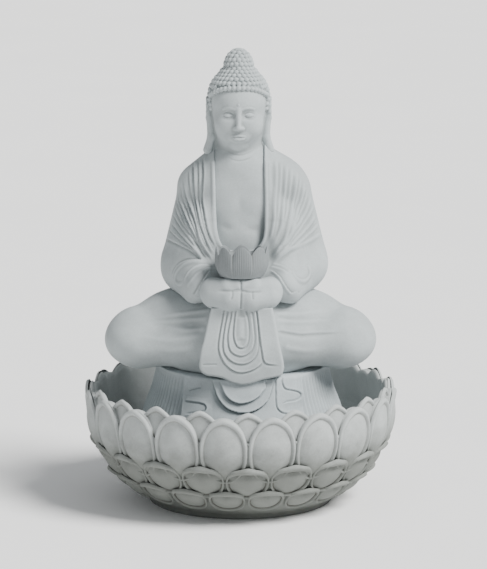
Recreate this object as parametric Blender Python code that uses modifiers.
"""A garden fountain: a seated figure that holds a lotus cup, on a draped pedestal in a lotus basin.

Run with: blender --background --python part.py
Metres, +Z up. The origin is the centre of the basin's underside, and the figure faces -Y.
The castings are cast stone. A submersible pump stands in the hollow pedestal, and a hose and a bent pipe take
the water up through the figure's cored lap and hands into the cup, from where it spills back to the basin.
"""

import math

import bmesh
import bpy
from mathutils import Matrix, Vector

# Driving dimensions
BASIN_RADIUS = 0.434  # to the grooves between the petals
PETAL_RELIEF = 0.007  # how far the petals' bellies stand out from there
RIM_HEIGHT = 0.322  # notches between the rim's petal tips
TIP_RISE = 0.014  # petal tips above the notches
BASIN_FLOOR = 0.050
STOPPER_Y = 0.150
PETALS = 20  # petals in each ring round the basin
PETAL_OFFSET = math.radians(-6.4)  # the first petal's turn from the front
GAP = 0.0003  # between faces that touch in the real object

PEDESTAL_FOOT = 0.058
PEDESTAL_TOP = 0.398
PEDESTAL_WALL = 0.025
PEDESTAL_BORE = 0.150  # radius of the opening in its top plate
PAD_HEIGHT = PEDESTAL_FOOT - BASIN_FLOOR - 2 * GAP

LAP_BASE = PEDESTAL_TOP + GAP
HEAD_X = -0.004  # the head sits a little to the figure's right

CUP_Y = -0.200
CUP_BASE = 0.684
CUP_HEIGHT = 0.084
CUP_RADIUS = 0.0765
CUP_PETALS = 8

HOSE_Y = -0.015
HOSE_TOP = 0.450
HOSE_RADIUS = 0.0140
HOSE_BORE = 0.0110
PIPE_RADIUS = 0.0100
PIPE_BORE = 0.0085
PIPE_FOOT = 0.420
PIPE_TOP = 0.655
CHANNEL_RADIUS = 0.0130

PUMP_FLOOR = BASIN_FLOOR + 0.012
PUMP_AXIS_Z = PUMP_FLOOR + 0.045
PUMP_BACK = 0.100
PUMP_JOINT = 0.005  # the plane where the chamber meets the motor housing
CHAMBER_FRONT = -0.035
CHAMBER_RADIUS = 0.0300
PUMP_HALF = 0.040  # half the chamber's and the cover's width
PUMP_HEIGHT = 0.088
COVER_LOW = PUMP_FLOOR + 0.003
COVER_HIGH = PUMP_FLOOR + 0.085
COVER_FRONT = -0.105
COVER_WALL = 0.005
SLOT_COUNT = 6
SLOT_HEIGHT = 0.0045
SLOT_PITCH = 0.0105
ROTOR_WELL = 0.0140
SPOUT_SHOULDER = PUMP_FLOOR + 0.086
SPOUT_TOP = SPOUT_SHOULDER + 0.022
SPOUT_BORE = 0.0075
DIAL_RADIUS = 0.013
DIAL_STEM = 0.0038

STONE = (0.60, 0.635, 0.635)
BLACK_PLASTIC = (0.030, 0.032, 0.034)
RUBBER = (0.045, 0.045, 0.045)
CLEAR_GREY = (0.42, 0.45, 0.46)
STEEL = (0.62, 0.62, 0.61)
CERAMIC = (0.86, 0.85, 0.82)
FERRITE = (0.10, 0.10, 0.11)
BRASS = (0.55, 0.42, 0.18)


def clear_scene():
    for old in list(bpy.data.objects):
        bpy.data.objects.remove(old)


def new_collection(name):
    collection = bpy.data.collections.new(name)
    bpy.context.scene.collection.children.link(collection)
    return collection


def material(name, color, roughness, metallic=0.0):
    made = bpy.data.materials.new(name)
    made.use_nodes = True
    shader = made.node_tree.nodes["Principled BSDF"]
    shader.inputs["Base Color"].default_value = (*color, 1.0)
    shader.inputs["Roughness"].default_value = roughness
    shader.inputs["Metallic"].default_value = metallic
    return made


def add(name, mesh, finish=None, smooth=True):
    """An object in the part's collection, or a hidden cutter where it has no finish."""
    made = bpy.data.objects.new(name, mesh)
    if finish is None:
        made.hide_render = True
        made.display_type = "WIRE"
        CUTTERS.objects.link(made)
        return made
    PARTS.objects.link(made)
    mesh.materials.append(finish)
    if smooth:
        mesh.shade_smooth()
        mesh.set_sharp_from_angle(angle=math.radians(40))
    return made


def mesh_from(name, build):
    """A mesh made by a function that fills a bmesh."""
    mesh = bpy.data.meshes.new(name)
    work = bmesh.new()
    build(work)
    bmesh.ops.recalc_face_normals(work, faces=work.faces)
    work.to_mesh(mesh)
    work.free()
    return mesh


def turned(name, profile, finish=None, steps=48, centre=(0, 0, 0), closed=False):
    """A profile of (radius, height) points, listed down its outer side, turned about +Z at centre."""
    mesh = bpy.data.meshes.new(name)
    points = [(radius, 0, height) for radius, height in profile]
    edges = [(i, i + 1) for i in range(len(points) - 1)]
    if closed:
        edges.append((len(points) - 1, 0))
    mesh.from_pydata(points, edges, [])
    made = add(name, mesh, finish, smooth=False)
    made.location = centre
    screw = made.modifiers.new("turn", "SCREW")
    screw.axis = "Z"
    screw.steps = steps
    screw.render_steps = steps
    screw.use_merge_vertices = True
    screw.merge_threshold = 1e-5
    screw.use_smooth_shade = True
    return made


def turned_mesh(name, profile, steps):
    """The same, as a plain mesh whose points can be moved."""
    blank = turned(name + "_blank", profile, None, steps)
    graph = bpy.context.evaluated_depsgraph_get()
    mesh = bpy.data.meshes.new_from_object(blank.evaluated_get(graph))
    bpy.data.objects.remove(blank)
    return mesh


def rod(name, start, end, radius, finish=None, segments=24, end_radius=None):
    """A solid cylinder, or a cone, between two points."""
    start, end = Vector(start), Vector(end)
    along = end - start
    second = radius if end_radius is None else end_radius

    def build(work):
        bmesh.ops.create_cone(
            work, cap_ends=True, segments=segments, radius1=radius, radius2=second, depth=along.length
        )

    made = add(name, mesh_from(name, build), finish)
    made.location = (start + end) / 2
    made.rotation_euler = along.to_track_quat("Z", "Y").to_euler()
    return made


def box(name, low, high, finish=None, rounding=0.0):
    """A block from its lowest to its highest corner."""
    low, high = Vector(low), Vector(high)

    def build(work):
        bmesh.ops.create_cube(work, size=1.0)
        bmesh.ops.scale(work, vec=high - low, verts=work.verts)

    made = add(name, mesh_from(name, build), finish, smooth=False)
    made.location = (low + high) / 2
    if rounding:
        bevel = made.modifiers.new("rounding", "BEVEL")
        bevel.width = rounding
        bevel.segments = 3
    return made


def combine(target, other, operation):
    cut = target.modifiers.new(f"{operation.lower()} {other.name}", "BOOLEAN")
    cut.operation = operation
    cut.solver = "EXACT"
    cut.object = other


def repeat(blank, count, step):
    """A row of copies, each moved by the same step from the last."""
    row = blank.modifiers.new("row", "ARRAY")
    row.count = count
    row.use_relative_offset = False
    row.use_constant_offset = True
    row.constant_offset_displace = step


def tube(name, points, radius, finish=None):
    """A round bar along a smooth curve through the points, cut square at its ends."""
    curve = bpy.data.curves.new(name, "CURVE")
    curve.dimensions = "3D"
    curve.bevel_depth = radius
    curve.bevel_resolution = 2
    curve.use_fill_caps = True
    line = curve.splines.new("POLY")
    line.points.add(len(points) - 1)
    for slot, point in zip(line.points, points):
        slot.co = (*point, 1.0)
    raw = bpy.data.objects.new(name + "_curve", curve)
    bpy.context.scene.collection.objects.link(raw)
    graph = bpy.context.evaluated_depsgraph_get()
    mesh = bpy.data.meshes.new_from_object(raw.evaluated_get(graph))
    work = bmesh.new()
    work.from_mesh(mesh)
    bmesh.ops.remove_doubles(work, verts=work.verts, dist=1e-5)
    work.to_mesh(mesh)
    work.free()
    bpy.data.objects.remove(raw)
    mesh.materials.clear()
    return add(name, mesh, finish)


def smooth_route(points, steps=4):
    """Points along a Catmull-Rom curve through the route's own points."""
    route = [Vector(p) for p in points]
    padded = [2 * route[0] - route[1], *route, 2 * route[-1] - route[-2]]
    made = []
    for a, b, c, d in zip(padded, padded[1:], padded[2:], padded[3:]):
        for step in range(steps):
            t = step / steps
            bend = (2 * a - 5 * b + 4 * c - d) * t * t + (3 * b - a - 3 * c + d) * t**3
            made.append(0.5 * (2 * b + (c - a) * t + bend))
    return [*made, route[-1]]


# The lotus basin

BASIN_OUTSIDE = [
    (BASIN_RADIUS - 0.002, RIM_HEIGHT),
    (BASIN_RADIUS, 0.290),
    (BASIN_RADIUS - 0.002, 0.245),
    (0.420, 0.200),
    (0.400, 0.157),
    (0.382, 0.125),
    (0.356, 0.088),
    (0.326, 0.058),
    (0.290, 0.030),
    (0.264, 0.012),
    (0.262, 0.000),
]
BASIN_INSIDE = [
    (BASIN_RADIUS - 0.016, RIM_HEIGHT + 0.05),
    (0.414, 0.296),
    (0.408, 0.246),
    (0.396, 0.196),
    (0.372, 0.146),
    (0.338, 0.094),
    (0.298, BASIN_FLOOR),
    (0.0, BASIN_FLOOR),
]
# The height of each ring's petal bellies, their reach up and down, and half a petal's turn or none
PETAL_ROWS = [
    (0.245, 0.075, 0.0),
    (0.135, 0.045, 0.5),
    (0.066, 0.036, 0.0),
]


def petal_turn(angle, shift):
    """Where an angle from the front lies across its petal, from -1 to 1."""
    share = (angle - PETAL_OFFSET) * PETALS / math.tau - shift
    return 2 * (share - round(share))


def basin_relief(angle, height):
    """How far the petals' bellies stand out at a point of the outside wall."""
    deepest = 0.0
    for middle, reach, shift in PETAL_ROWS:
        across = petal_turn(angle, shift)
        up = (height - middle) / reach
        deepest = max(deepest, 1 - across**2 - up**2)
    return PETAL_RELIEF * math.sqrt(deepest)


def lotus_basin(stone):
    """The turned bowl, with its wall pushed out into petals and its rim drawn up into their tips."""
    steps = PETALS * 4
    mesh = turned_mesh("lotus_basin", [(0.0, RIM_HEIGHT), *BASIN_OUTSIDE, (0.0, 0.0)], steps)
    mesh.transform(Matrix.Rotation(PETAL_OFFSET, 4, "Z"))
    for point in mesh.vertices:
        radius = math.hypot(point.co.x, point.co.y)
        if radius < 0.1:
            continue
        angle = math.atan2(point.co.x, -point.co.y)
        if point.co.z > RIM_HEIGHT - 1e-4:
            point.co.z += TIP_RISE * abs(math.cos(PETALS * (angle - PETAL_OFFSET)))
        grown = 1 + basin_relief(angle, point.co.z) / radius
        point.co.x *= grown
        point.co.y *= grown
    basin = add("lotus_basin", mesh, stone)
    hollow = turned("basin_hollow", [(0.0, RIM_HEIGHT + 0.05), *BASIN_INSIDE], None, steps)
    hollow.rotation_euler.z = PETAL_OFFSET
    combine(basin, hollow, "DIFFERENCE")
    combine(basin, rod("cord_hole", (0, STOPPER_Y, -0.01), (0, STOPPER_Y, 0.08), 0.0150), "DIFFERENCE")
    combine(basin, box("cord_groove", (-0.010, 0.14, -0.01), (0.010, 0.30, 0.012)), "DIFFERENCE")


def drain_stopper(rubber):
    """A tapered rubber stopper with a slit for the pump's cord. It fills the hole in the basin's floor."""
    rest = BASIN_FLOOR + GAP
    head = [(0.0, 0.064), (0.0185, 0.064), (0.0200, 0.062), (0.0200, rest)]
    plug = [(0.0146, rest), (0.0138, 0.020), (0.0, 0.020)]
    stopper = turned("drain_stopper", head + plug, rubber, 20, (0, STOPPER_Y, 0))
    slit = box("cord_slit", (-0.0035, STOPPER_Y, 0.0), (0.0035, STOPPER_Y + 0.03, 0.08))
    combine(stopper, slit, "DIFFERENCE")


# The pedestal

PEDESTAL_OUTSIDE = [
    (0.244, PEDESTAL_TOP),
    (0.251, 0.378),
    (0.260, 0.335),
    (0.272, 0.295),
    (0.286, 0.255),
    (0.296, 0.210),
    (0.298, 0.150),
    (0.294, 0.100),
    (0.284, PEDESTAL_FOOT),
]


def pedestal(stone):
    """A hollow draped stand, open below, with a ring-shaped top plate. Water flows in under its edge."""
    plate_low = PEDESTAL_TOP - PEDESTAL_WALL
    inside = [(radius - PEDESTAL_WALL, height) for radius, height in reversed(PEDESTAL_OUTSIDE)]
    inside[-2:] = [(0.226, plate_low), (PEDESTAL_BORE, plate_low)]
    ring = [*PEDESTAL_OUTSIDE, *inside, (PEDESTAL_BORE, PEDESTAL_TOP)]
    turned("pedestal", ring, stone, 48, closed=True)


def pedestal_pads(rubber):
    """Four pads on the diagonals, which hold the stand off the floor."""
    low = BASIN_FLOOR + GAP
    for i in range(4):
        turn = math.radians(45 + 90 * i)
        x, y = 0.270 * math.cos(turn), 0.270 * math.sin(turn)
        rod(f"pedestal_pad_{i + 1}", (x, y, low), (x, y, low + PAD_HEIGHT), 0.0125, rubber, 16)


# The figure

# Each blob is centre, radii, and turns in degrees about Y and then Z. Those off the middle are mirrored.
BLOBS = [
    ((0.0, 0.020, 0.880), (0.150, 0.105, 0.140), 0, 0),  # chest
    ((0.0, 0.000, 0.720), (0.150, 0.120, 0.180), 0, 0),  # belly
    ((0.0, 0.060, 0.780), (0.165, 0.092, 0.220), 0, 0),  # back
    ((0.100, 0.025, 0.922), (0.086, 0.078, 0.072), 14, 0),  # shoulder
    ((0.162, 0.025, 0.790), (0.066, 0.080, 0.180), -8, 0),  # upper arm in its sleeve
    ((0.185, -0.002, 0.665), (0.055, 0.078, 0.062), 0, 0),  # elbow
    ((0.135, -0.100, 0.640), (0.056, 0.120, 0.050), 0, 28),  # forearm
    ((0.060, -0.200, 0.636), (0.064, 0.068, 0.050), 0, 0),  # hand
    ((0.0, -0.080, 0.620), (0.150, 0.110, 0.085), 0, 0),  # sleeves' fill between the forearms
    ((0.0, -0.195, 0.625), (0.060, 0.058, 0.056), 0, 0),  # palms under the cup
    ((0.0, -0.150, 0.540), (0.112, 0.112, 0.100), 0, 0),  # cloth gathered in the lap
    ((0.0, 0.030, 0.500), (0.230, 0.150, 0.120), 0, 0),  # hips
    ((0.225, -0.055, 0.478), (0.160, 0.130, 0.084), 12, -14),  # folded leg
    ((0.0, -0.140, 0.470), (0.200, 0.125, 0.100), 0, 0),  # crossed shins under the cloth
]
HEAD_BLOBS = [
    ((0.0, 0.020, 1.130), (0.080, 0.095, 0.105)),  # skull
    ((0.0, -0.012, 1.090), (0.070, 0.078, 0.085)),  # face
    ((0.0, 0.012, 1.155), (0.087, 0.100, 0.084)),  # cap of curls
    ((0.0, 0.018, 1.205), (0.073, 0.080, 0.050)),  # its rise to the crown
    ((0.0, 0.020, 1.242), (0.047, 0.052, 0.058)),  # crown bump
]
FIGURE_VOXEL = 0.011
FIGURE_SHARE = 0.14  # of the remeshed faces that are kept
# Half widths and heights of the front cloth, and of its hem in front of the pedestal
DRAPE = [(0.096, 0.587), (0.106, 0.500), (0.122, 0.430), (0.122, LAP_BASE)]
HEM = [(0.120, 0.430), (0.120, 0.400), (0.090, 0.388), (0.030, 0.380)]
CLOTH_FRONT = -0.272


def add_ball(work, centre, radii, turn_y=0.0, turn_z=0.0):
    place = (
        Matrix.Translation(centre)
        @ Matrix.Rotation(math.radians(turn_z), 4, "Z")
        @ Matrix.Rotation(math.radians(turn_y), 4, "Y")
        @ Matrix.Diagonal((*radii, 1.0))
    )
    bmesh.ops.create_uvsphere(work, u_segments=32, v_segments=20, radius=1.0, matrix=place)


def add_bar(work, start, end, radius, end_radius):
    start, end = Vector(start), Vector(end)
    along = end - start
    place = Matrix.Translation((start + end) / 2) @ along.to_track_quat("Z", "Y").to_matrix().to_4x4()
    bmesh.ops.create_cone(
        work, cap_ends=True, segments=28, radius1=radius, radius2=end_radius, depth=along.length, matrix=place
    )


def figure_lumps(work):
    for centre, radii, turn_y, turn_z in BLOBS:
        add_ball(work, centre, radii, turn_y, turn_z)
        if centre[0] > 0:
            add_ball(work, (-centre[0], *centre[1:]), radii, -turn_y, -turn_z)
    for centre, radii in HEAD_BLOBS:
        add_ball(work, (centre[0] + HEAD_X, *centre[1:]), radii)
    add_bar(work, (0, 0.025, 0.92), (HEAD_X, 0.015, 1.09), 0.066, 0.052)
    add_bar(work, (0, 0.010, LAP_BASE - 0.02), (0, 0.010, 0.450), 0.226, 0.222)
    for side in (-1, 1):
        ear = HEAD_X + side * 0.083
        add_bar(work, (ear, 0.02, 1.15), (ear + side * 0.004, 0.01, 1.00), 0.013, 0.013)


def cloth_slab(work, halves, depth):
    """A slab of cloth with its front at CLOTH_FRONT, from its half widths and heights."""
    left = [(-half, height) for half, height in halves]
    sides = left + [(half, height) for half, height in reversed(halves)]
    front = [work.verts.new((x, CLOTH_FRONT, z)) for x, z in sides]
    thick = bmesh.ops.extrude_face_region(work, geom=[work.faces.new(front)])
    moved = [item for item in thick["geom"] if isinstance(item, bmesh.types.BMVert)]
    bmesh.ops.translate(work, vec=(0, depth, 0), verts=moved)


def buddha_figure(stone):
    """One casting from lap to crown, cored through the lap and torso, with a channel up into the hands.

    The hem of its front cloth hangs a little way down in front of the pedestal.
    """

    def build(work):
        figure_lumps(work)
        cloth_slab(work, DRAPE, 0.090)

    figure = add("buddha_figure", mesh_from("buddha_figure", build), stone)
    skin = figure.modifiers.new("skin", "REMESH")
    skin.mode = "VOXEL"
    skin.voxel_size = FIGURE_VOXEL
    soften = figure.modifiers.new("soften", "SMOOTH")
    soften.factor = 0.5
    soften.iterations = 4
    thin = figure.modifiers.new("thin", "DECIMATE")
    thin.ratio = FIGURE_SHARE
    combine(figure, box("below_the_lap", (-0.6, -0.6, 0.1), (0.6, 0.6, LAP_BASE)), "DIFFERENCE")
    combine(figure, add("hem", mesh_from("hem", lambda work: cloth_slab(work, HEM, 0.015))), "UNION")
    lap_core = rod("lap_core", (0, -0.085, 0.30), (0, -0.085, 0.530), 0.150, segments=32)
    torso_core = rod("torso_core", (0, 0.045, 0.30), (0, 0.045, 0.900), 0.078, segments=24)
    channel = rod("pipe_channel", (0, CUP_Y, 0.49), (0, CUP_Y, 0.80), CHANNEL_RADIUS)
    seat = rod("cup_seat", (0, CUP_Y, CUP_BASE - GAP), (0, CUP_Y, CUP_BASE + 0.10), 0.082, segments=40)
    for cutter in (lap_core, torso_core, channel, seat):
        combine(figure, cutter, "DIFFERENCE")
    return figure


# The lotus cup and its tank fitting

FITTING_BORE = 0.0050
FITTING_RADIUS = 0.0070
CUP_FLOOR = CUP_BASE + 0.014


def lotus_cup(stone):
    outer = [
        (CUP_RADIUS - 0.004, CUP_HEIGHT),
        (CUP_RADIUS, 0.062),
        (CUP_RADIUS, 0.046),
        (0.0730, 0.026),
        (0.0665, 0.009),
        (0.0610, 0.0),
    ]
    floor = CUP_FLOOR - CUP_BASE
    inner = [(0.0, floor), (0.052, floor), (0.0590, 0.024), (0.0665, 0.050), (CUP_RADIUS - 0.012, CUP_HEIGHT)]
    mesh = turned_mesh("lotus_cup", [*inner, *outer, (0.0, 0.0)], CUP_PETALS * 4)
    for point in mesh.vertices:
        if point.co.z > CUP_HEIGHT - 1e-4:
            angle = math.atan2(point.co.x, -point.co.y)
            point.co.z += -0.006 + 0.013 * abs(math.cos(CUP_PETALS / 2 * angle)) ** 1.5
    cup = add("lotus_cup", mesh, stone)
    cup.location = (0, CUP_Y, CUP_BASE)
    hole = rod("cup_hole", (0, CUP_Y, CUP_BASE - 0.01), (0, CUP_Y, CUP_BASE + 0.04), FITTING_RADIUS + GAP)
    combine(cup, hole, "DIFFERENCE")


def cup_fitting(plastic, rubber):
    """A flanged outlet through the cup's floor: its tail runs down inside the riser pipe's mouth."""
    gasket_top = CUP_FLOOR + GAP + 0.002
    flange = gasket_top + GAP
    place = (0, CUP_Y, 0)
    turned(
        "cup_fitting",
        [(FITTING_BORE, flange + 0.006), (0.0135, flange + 0.006), (0.0145, flange + 0.004), (0.0145, flange)]
        + [(FITTING_RADIUS, flange), (FITTING_RADIUS, PIPE_TOP - 0.012), (FITTING_BORE, PIPE_TOP - 0.012)],
        plastic,
        24,
        place,
        closed=True,
    )
    turned(
        "cup_gasket",
        [(FITTING_RADIUS + GAP, gasket_top), (0.0150, gasket_top), (0.0150, CUP_FLOOR + GAP)]
        + [(FITTING_RADIUS + GAP, CUP_FLOOR + GAP)],
        rubber,
        24,
        place,
        closed=True,
    )
    nut_top = CUP_BASE - GAP
    nut = rod("cup_nut", (0, CUP_Y, nut_top - 0.007), (0, CUP_Y, nut_top), 0.0120, plastic, 6)
    thread = rod("nut_thread", (0, CUP_Y, nut_top - 0.02), (0, CUP_Y, nut_top + 0.01), FITTING_RADIUS + GAP)
    combine(nut, thread, "DIFFERENCE")


# The water line

PIPE_ROUTE = [
    (0, HOSE_Y, PIPE_FOOT),
    (0, HOSE_Y, 0.440),
    (0, HOSE_Y, 0.455),
    (0, HOSE_Y - 0.003, 0.469),
    (0, HOSE_Y - 0.022, 0.485),
    (0, -0.100, 0.492),
    (0, -0.165, 0.497),
    (0, CUP_Y + 0.006, 0.510),
    (0, CUP_Y, 0.532),
    (0, CUP_Y, 0.600),
    (0, CUP_Y, PIPE_TOP),
]


def riser_pipe(brass):
    route = smooth_route(PIPE_ROUTE)
    pipe = tube("riser_pipe", route, PIPE_RADIUS, brass)
    ends = [2 * route[0] - route[1], *route, 2 * route[-1] - route[-2]]
    combine(pipe, tube("pipe_bore", ends, PIPE_BORE), "DIFFERENCE")


def pipe_ring(name, radius, bore, low, high, finish, y):
    ring = [(bore, high), (radius, high), (radius, low), (bore, low)]
    return turned(name, ring, finish, 24, (0, y, 0), closed=True)


def hose_and_clamps(clear, steel):
    pipe_ring("riser_hose", HOSE_RADIUS, HOSE_BORE, SPOUT_SHOULDER + GAP, HOSE_TOP, clear, HOSE_Y)
    for name, low in (("hose_clamp_lower", SPOUT_SHOULDER + 0.006), ("hose_clamp_upper", HOSE_TOP - 0.018)):
        clamp = pipe_ring(name, HOSE_RADIUS + 0.0018, HOSE_RADIUS + GAP, low, low + 0.009, steel, HOSE_Y)
        middle = low + 0.0045
        head = box(
            name + "_worm",
            (-0.0055, HOSE_Y - HOSE_RADIUS - 0.0085, middle - 0.004),
            (0.0055, HOSE_Y - HOSE_RADIUS - 0.0010, middle + 0.004),
        )
        combine(clamp, head, "UNION")


# The pump


def pump_housing(plastic):
    """The potted motor, with a blind well for the rotor's magnet."""
    low = (-0.043, PUMP_JOINT + GAP, PUMP_FLOOR)
    high = (0.043, PUMP_BACK, PUMP_FLOOR + PUMP_HEIGHT)
    housing = box("pump_housing", low, high, plastic, 0.008)
    well = rod("rotor_well", (0, -0.01, PUMP_AXIS_Z), (0, 0.066, PUMP_AXIS_Z), ROTOR_WELL)
    combine(housing, well, "DIFFERENCE")
    rib_top = PUMP_FLOOR + PUMP_HEIGHT + 0.004
    ribs = box("rib", (-0.03, 0.03, rib_top - 0.012), (0.03, 0.034, rib_top))
    repeat(ribs, 4, (0, 0.014, 0))
    combine(housing, ribs, "UNION")


def cord_gland(rubber):
    """The moulded gland where the pump's cord would enter the motor housing."""
    x, z = 0.022, PUMP_AXIS_Z + 0.018
    back = PUMP_BACK + 0.024
    gland = rod("cord_gland", (x, PUMP_BACK + GAP, z), (x, back, z), 0.0085, rubber, end_radius=0.0055)
    socket = rod("gland_socket", (x, PUMP_BACK + 0.006, z), (x, back + 0.01, z), 0.0035)
    combine(gland, socket, "DIFFERENCE")


def pump_rod(name, start, end, radius, finish=None, segments=24):
    """A rod along the pump's axis, between two places on Y."""
    return rod(name, (0, start, PUMP_AXIS_Z), (0, end, PUMP_AXIS_Z), radius, finish, segments)


def pump_chamber(plastic):
    """The impeller chamber and its spout, with an open eye at the front where the water comes in."""
    front_wall = 0.009
    low = (-PUMP_HALF, CHAMBER_FRONT, COVER_LOW)
    high = (PUMP_HALF, PUMP_JOINT - GAP, COVER_HIGH)
    chamber = box("pump_chamber", low, high, plastic, 0.006)
    root = (0, HOSE_Y, PUMP_AXIS_Z + 0.030)
    combine(chamber, rod("spout_outside", root, (0, HOSE_Y, SPOUT_TOP), HOSE_BORE - GAP), "UNION")
    cutters = [
        pump_rod("cavity", PUMP_JOINT + 0.005, CHAMBER_FRONT + front_wall, CHAMBER_RADIUS, segments=32),
        pump_rod("eye", 0, CHAMBER_FRONT - 0.01, 0.0125),
        rod("spout_bore", (0, HOSE_Y, PUMP_AXIS_Z), (0, HOSE_Y, SPOUT_TOP + 0.01), SPOUT_BORE),
    ]
    for cutter in cutters:
        combine(chamber, cutter, "DIFFERENCE")


def pump_cover(plastic):
    """The slotted intake cover that meets the chamber's front and pulls off for cleaning."""
    back = CHAMBER_FRONT - GAP
    low, high = (-PUMP_HALF, COVER_FRONT, COVER_LOW), (PUMP_HALF, back, COVER_HIGH)
    cover = box("pump_cover", low, high, plastic, 0.008)
    inner_low = (-PUMP_HALF + COVER_WALL, COVER_FRONT + COVER_WALL, COVER_LOW + COVER_WALL)
    inner_high = (PUMP_HALF - COVER_WALL, 0.0, COVER_HIGH - COVER_WALL)
    combine(cover, box("cover_hollow", inner_low, inner_high), "DIFFERENCE")
    lowest = COVER_LOW + 0.015
    slots = box(
        "cover_slot",
        (-PUMP_HALF - 0.01, COVER_FRONT + 0.014, lowest),
        (PUMP_HALF + 0.01, COVER_FRONT + 0.050, lowest + SLOT_HEIGHT),
    )
    repeat(slots, SLOT_COUNT, (0, 0, SLOT_PITCH))
    combine(cover, slots, "DIFFERENCE")
    dial_hole = pump_rod("dial_hole", COVER_FRONT - 0.01, COVER_FRONT + 0.02, DIAL_STEM + 0.0004)
    combine(cover, dial_hole, "DIFFERENCE")


def flow_dial(plastic):
    """The dial on the cover's face that opens and closes the intake."""
    knob = pump_rod("flow_dial", COVER_FRONT - 0.007, COVER_FRONT - GAP, DIAL_RADIUS, plastic, 20)
    grip_half = DIAL_RADIUS - 0.0015
    pieces = [
        pump_rod("dial_stem", COVER_FRONT - 0.002, COVER_FRONT + 0.010, DIAL_STEM),
        box(
            "dial_grip",
            (-0.0018, COVER_FRONT - 0.012, PUMP_AXIS_Z - grip_half),
            (0.0018, COVER_FRONT - 0.005, PUMP_AXIS_Z + grip_half),
        ),
        pump_rod("dial_vane", COVER_FRONT + 0.0075, COVER_FRONT + 0.0105, 0.018, segments=20),
    ]
    for piece in pieces:
        combine(knob, piece, "UNION")


def rotor(plastic, ferrite, ceramic):
    """The magnet and the impeller, which turn together on a fixed ceramic shaft."""
    shaft_radius, hub_radius = 0.0015, 0.0050
    magnet_back = 0.062
    back = PUMP_JOINT - 0.004  # of the impeller
    front = back - 0.012
    pump_rod("rotor_shaft", magnet_back + 0.0037, front - 0.004, shaft_radius, ceramic, 16)
    magnet = pump_rod("rotor_magnet", magnet_back, back + GAP, 0.0120, ferrite)
    wheel = pump_rod("impeller", back, back - 0.0025, 0.0230, plastic, 28)
    combine(wheel, pump_rod("impeller_hub", back - 0.001, front, hub_radius), "UNION")
    for i in range(6):
        vane = box(f"impeller_vane_{i}", (0.003, front, -0.0008), (0.0222, back - 0.001, 0.0008))
        turn = Matrix.Rotation(i * math.tau / 6, 4, "Y")
        vane.matrix_world = Matrix.Translation((0, 0, PUMP_AXIS_Z)) @ turn @ Matrix.Translation(vane.location)
        combine(wheel, vane, "UNION")
    for piece in (magnet, wheel):
        bore_radius = shaft_radius + GAP
        hole = pump_rod(f"{piece.name}_bore", magnet_back + 0.01, front - 0.01, bore_radius, segments=16)
        combine(piece, hole, "DIFFERENCE")


def pump_feet(rubber):
    """Four suction feet that hold the pump to the basin's floor."""
    places = [(x, y) for x in (-0.030, 0.030) for y in (0.022, 0.082)]
    for i, (x, y) in enumerate(places):
        turned(
            f"pump_foot_{i + 1}",
            [(0.0, PUMP_FLOOR - GAP), (0.0060, PUMP_FLOOR - GAP), (0.0065, PUMP_FLOOR - 0.005)]
            + [(0.0120, BASIN_FLOOR + 0.002), (0.0125, BASIN_FLOOR + GAP), (0.0, BASIN_FLOOR + GAP)],
            rubber,
            14,
            (x, y, 0),
        )


clear_scene()
PARTS = new_collection("lotus_fountain")
CUTTERS = new_collection("cutters")

cast_stone = material("cast_stone", STONE, 0.75)
black_plastic = material("black_plastic", BLACK_PLASTIC, 0.45)
black_rubber = material("black_rubber", RUBBER, 0.8)
clear_vinyl = material("clear_vinyl", CLEAR_GREY, 0.25)
steel_band = material("steel_band", STEEL, 0.3, 1.0)
white_ceramic = material("white_ceramic", CERAMIC, 0.3)
dark_ferrite = material("dark_ferrite", FERRITE, 0.5)
pipe_brass = material("pipe_brass", BRASS, 0.35, 1.0)

lotus_basin(cast_stone)
drain_stopper(black_rubber)
pedestal(cast_stone)
pedestal_pads(black_rubber)
buddha_figure(cast_stone)
lotus_cup(cast_stone)
cup_fitting(black_plastic, black_rubber)
riser_pipe(pipe_brass)
hose_and_clamps(clear_vinyl, steel_band)
pump_housing(black_plastic)
cord_gland(black_rubber)
pump_chamber(black_plastic)
pump_cover(black_plastic)
flow_dial(black_plastic)
rotor(black_plastic, dark_ferrite, white_ceramic)
pump_feet(black_rubber)
